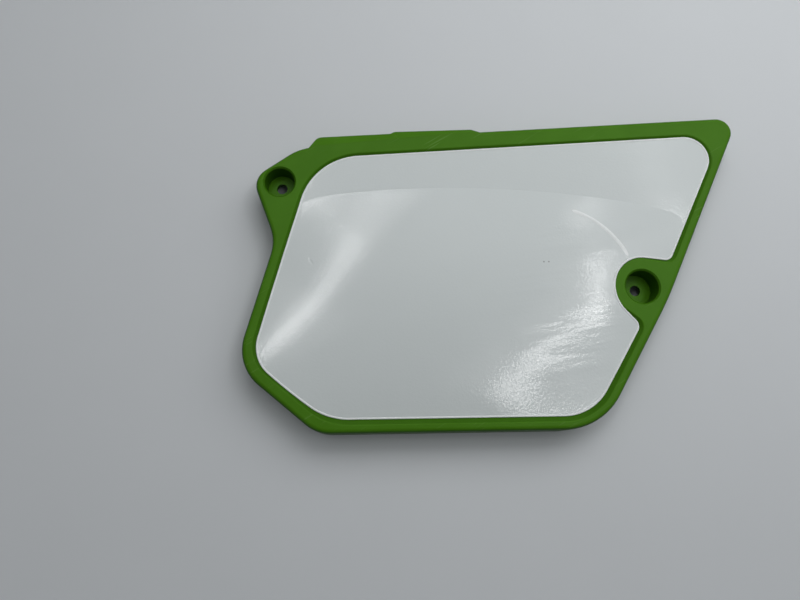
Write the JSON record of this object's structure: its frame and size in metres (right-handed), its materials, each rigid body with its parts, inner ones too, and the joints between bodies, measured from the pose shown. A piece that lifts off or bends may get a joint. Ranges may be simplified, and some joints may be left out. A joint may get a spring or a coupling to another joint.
{
  "type": "motorbike side panel",
  "caption": "Moulded motorbike side panel with a hollow back, recessed screw cups, a lip along its top edge and a domed face that carries a white vinyl number-plate decal.",
  "frame": {"origin": "middle of the panel's box in plan, on the plane of its back edge", "axes": "+Z out of the face, away from the bike; +X towards the rear of the bike; +Y up on the bike"},
  "size_m": [0.303, 0.1983, 0.0252],
  "materials": {
    "panel_shell": "green moulded polypropylene, satin gloss",
    "number_plate_decal": "white glossy self-adhesive vinyl"
  },
  "bodies": {
    "root": {"panel_shell": "panel_shell", "number_plate_decal": "number_plate_decal"}
  },
  "joints": []
}
